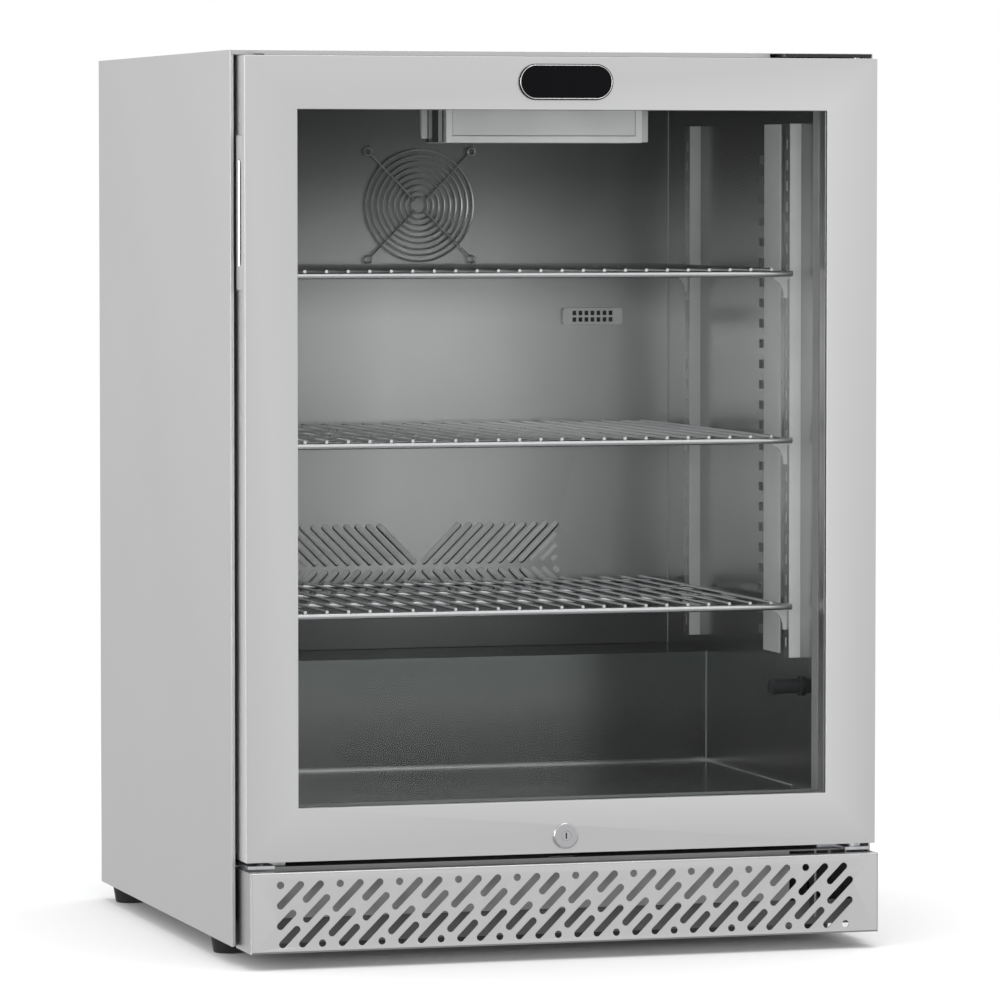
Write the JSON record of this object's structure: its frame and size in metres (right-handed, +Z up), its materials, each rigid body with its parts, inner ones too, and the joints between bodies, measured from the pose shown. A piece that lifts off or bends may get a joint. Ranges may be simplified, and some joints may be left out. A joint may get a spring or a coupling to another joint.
{
  "type": "under counter fridge",
  "caption": "Under counter fridge with a framed glass door, wire shelves, a slotted kick grille, fan cooling and levelling feet.",
  "frame": {"origin": "on the floor, under the middle of the width and of the whole depth", "axes": "+Z up, -Y towards the glass door, +X to the right as seen from the front"},
  "size_m": [0.6, 0.566, 0.81],
  "materials": {
    "stainless": "satin",
    "inner_stainless": "satin",
    "galvanised": "satin",
    "foam": "matte",
    "door_glass": "gloss",
    "spacer": "satin",
    "gasket_rubber": "matte",
    "black_plastic": "matte",
    "badge_black": "gloss",
    "lock_chrome": "polished",
    "zinc": "satin",
    "black_steel": "satin",
    "shelf_wire": "satin",
    "pale_plastic": "satin",
    "lamp_board": "matte",
    "coil_aluminium": "satin",
    "copper": "satin",
    "foot_rubber": "matte"
  },
  "bodies": {
    "cabinet": {"side_panel_left": "stainless", "side_panel_right": "stainless", "top_panel": "stainless", "back_panel": "galvanised", "base_tray": "galvanised", "machine_bay_divider": "galvanised", "inner_liner": "inner_stainless", "insulation_foam": "foam", "front_frame": "inner_stainless", "front_rail": "galvanised", "kick_grille": "stainless", "panel_screws": "zinc", "top_hinge_plate": "black_steel", "bottom_hinge_bracket": "zinc", "spare_hinge_bracket": "zinc", "hinge_pins": "zinc", "hinge_screws": "zinc", "shelf_standards": "inner_stainless", "shelf_clips": "zinc", "light_housing": "pale_plastic", "light_diffuser": "pale_plastic", "led_board": "lamp_board", "control_module": "black_plastic", "sensor_peg": "black_plastic", "evaporator_cover": "inner_stainless", "fan_guard": "shelf_wire", "evaporator_fan_frame": "black_plastic", "evaporator_coil": "coil_aluminium", "probe_cover": "pale_plastic", "compressor": "black_steel", "compressor_mounts": "foot_rubber", "condenser": "coil_aluminium", "condenser_fan_frame": "black_plastic", "copper_lines": "copper", "filter_drier": "copper", "drip_tray": "black_plastic", "power_inlet": "black_plastic", "rear_vent_cover": "galvanised"},
    "door": {"door_frame": "stainless", "door_liner": "spacer", "door_foam": "foam", "outer_glass": "door_glass", "inner_glass": "door_glass", "glass_spacer": "spacer", "door_gasket": "gasket_rubber", "handle_grip": "black_plastic", "door_badge": "badge_black", "lock_body": "lock_chrome", "hinge_bushes": "black_plastic", "hinge_hole_plugs": "black_plastic"},
    "lock": {"lock_cam": "lock_chrome"},
    "top_shelf": {"shelf_top": "shelf_wire"},
    "middle_shelf": {"shelf_middle": "shelf_wire"},
    "bottom_shelf": {"shelf_bottom": "shelf_wire"},
    "evaporator_fan": {"evaporator_fan_rotor": "black_plastic"},
    "condenser_fan": {"condenser_fan_rotor": "black_plastic"},
    "front_left_foot": {"foot_front_left": "foot_rubber"},
    "front_right_foot": {"foot_front_right": "foot_rubber"},
    "rear_left_foot": {"foot_rear_left": "foot_rubber"},
    "rear_right_foot": {"foot_rear_right": "foot_rubber"}
  },
  "joints": [
    {"name": "door_hinge", "type": "hinge", "parent": "cabinet", "child": "door", "pos_m": [0.278, -0.258, 0.45], "axis": [0, 0, 1], "range_deg": [0, 120]},
    {"name": "lock_turn", "type": "hinge", "parent": "door", "child": "lock", "pos_m": [0, -0.26, 0.11], "axis": [0, 1, 0], "range_deg": [0, 90]},
    {"name": "top_shelf_lift", "type": "slide", "parent": "cabinet", "child": "top_shelf", "axis": [0, 0, 1], "range_m": [0, 0.012]},
    {"name": "middle_shelf_lift", "type": "slide", "parent": "cabinet", "child": "middle_shelf", "axis": [0, 0, 1], "range_m": [0, 0.012]},
    {"name": "bottom_shelf_lift", "type": "slide", "parent": "cabinet", "child": "bottom_shelf", "axis": [0, 0, 1], "range_m": [0, 0.012]},
    {"name": "evaporator_fan_spin", "type": "hinge", "parent": "cabinet", "child": "evaporator_fan", "pos_m": [0, 0.23, 0.671], "axis": [0, 1, 0], "continuous": true},
    {"name": "condenser_fan_spin", "type": "hinge", "parent": "cabinet", "child": "condenser_fan", "pos_m": [0.17, 0.2065, 0.0965], "axis": [1, 0, 0], "continuous": true},
    {"name": "front_left_foot_turn", "type": "hinge", "parent": "cabinet", "child": "front_left_foot", "pos_m": [-0.278, -0.144, 0.017], "axis": [0, 0, 1], "continuous": true},
    {"name": "front_right_foot_turn", "type": "hinge", "parent": "cabinet", "child": "front_right_foot", "pos_m": [0.278, -0.144, 0.017], "axis": [0, 0, 1], "continuous": true},
    {"name": "rear_left_foot_turn", "type": "hinge", "parent": "cabinet", "child": "rear_left_foot", "pos_m": [-0.278, 0.251, 0.017], "axis": [0, 0, 1], "continuous": true},
    {"name": "rear_right_foot_turn", "type": "hinge", "parent": "cabinet", "child": "rear_right_foot", "pos_m": [0.278, 0.251, 0.017], "axis": [0, 0, 1], "continuous": true}
  ]
}
